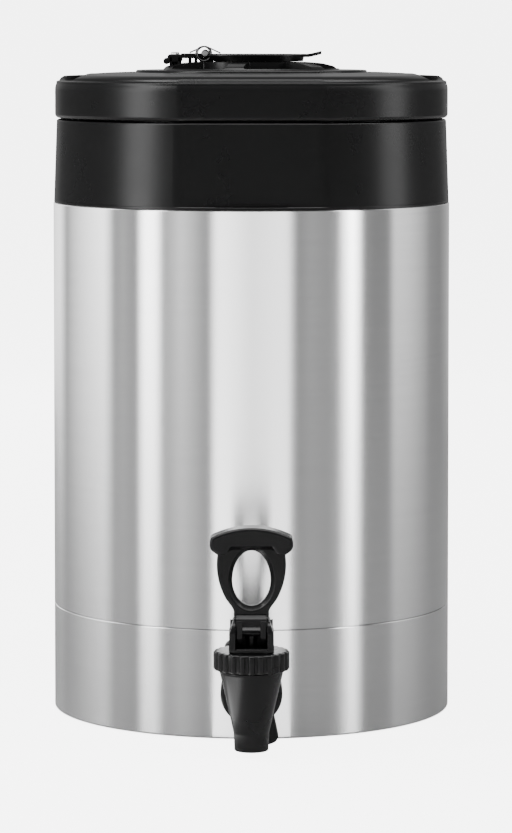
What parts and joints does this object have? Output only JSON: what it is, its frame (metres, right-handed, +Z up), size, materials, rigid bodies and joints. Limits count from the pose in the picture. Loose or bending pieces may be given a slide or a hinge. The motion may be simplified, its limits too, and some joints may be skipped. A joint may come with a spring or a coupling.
{
  "type": "coffee dispenser",
  "caption": "Insulated coffee dispenser with a brushed steel body, black collar, lift-off lid with a sprung brew-through flap, and a self-closing front faucet with a loop handle.",
  "frame": {"origin": "centre of the base, on the surface that it stands on", "axes": "+Z up, -Y towards the faucet, +X to the right of someone who faces the faucet"},
  "size_m": [0.232, 0.3018, 0.3883],
  "materials": {
    "brushed_steel": "brushed around the body",
    "black_plastic": "moulded, fine satin texture",
    "bright_steel": "bright",
    "silicone": "matte",
    "foam": "foamed",
    "grey_plastic": "moulded",
    "foot_rubber": "matte",
    "bracket_steel": "zinc"
  },
  "bodies": {
    "server": {"outer_shell": "brushed_steel", "base_skirt": "brushed_steel", "base_pan": "black_plastic", "base_brackets": "bracket_steel", "base_screws": "bright_steel", "foot_ring": "foot_rubber", "liner": "brushed_steel", "insulation_jacket": "foam", "liner_seal": "silicone", "collar": "black_plastic", "outlet_elbow": "silicone", "hose_clamps": "bright_steel", "shank": "grey_plastic", "shank_washer": "silicone", "saddle_washer": "grey_plastic", "shank_backnut": "grey_plastic", "wing_nut": "black_plastic", "c_ring": "bright_steel", "faucet_seal": "silicone", "faucet_body": "black_plastic", "bonnet_seal": "silicone", "bonnet": "black_plastic", "bonnet_nut": "black_plastic", "handle_pivot_pin": "black_plastic", "stem_spring": "bright_steel"},
    "lid": {"lid_cap": "black_plastic", "lid_plug": "black_plastic", "lid_insulation": "foam", "lid_gasket": "silicone", "lid_screws": "bright_steel", "inlet_sleeve": "black_plastic", "hinge_bracket": "black_plastic", "bracket_screws": "bright_steel", "hinge_pin": "bright_steel", "flap_spring": "bright_steel"},
    "flap": {"flap": "black_plastic", "flap_seal": "silicone"},
    "handle": {"handle": "black_plastic"},
    "stem": {"valve_stem": "black_plastic", "stem_pin": "bright_steel", "seat_cup": "silicone"}
  },
  "joints": [
    {"name": "lid_lift", "type": "slide", "parent": "server", "child": "lid", "axis": [0, 0, 1], "range_m": [0, 0.08]},
    {"name": "flap_hinge", "type": "hinge", "parent": "lid", "child": "flap", "pos_m": [-0.027, 0, 0.3838], "axis": [0, -1, 0], "range_deg": [0, 100], "stiffness_Nm_per_rad": 0.02, "springref_deg": -20.05, "deforming": ["flap_spring"]},
    {"name": "handle_pull", "type": "hinge", "parent": "server", "child": "handle", "pos_m": [0, -0.171, 0.0697], "axis": [1, 0, 0], "range_deg": [0, 35], "stiffness_Nm_per_rad": 0.06, "springref_deg": -34.38},
    {"name": "stem_lift", "type": "slide", "parent": "server", "child": "stem", "axis": [0, 0, 1], "range_m": [0, 0.0043], "deforming": ["stem_spring"]}
  ],
  "couplings": [
    {"joint": "stem_lift", "follows": "handle_pull", "m_per_rad": 0.0068775}
  ]
}
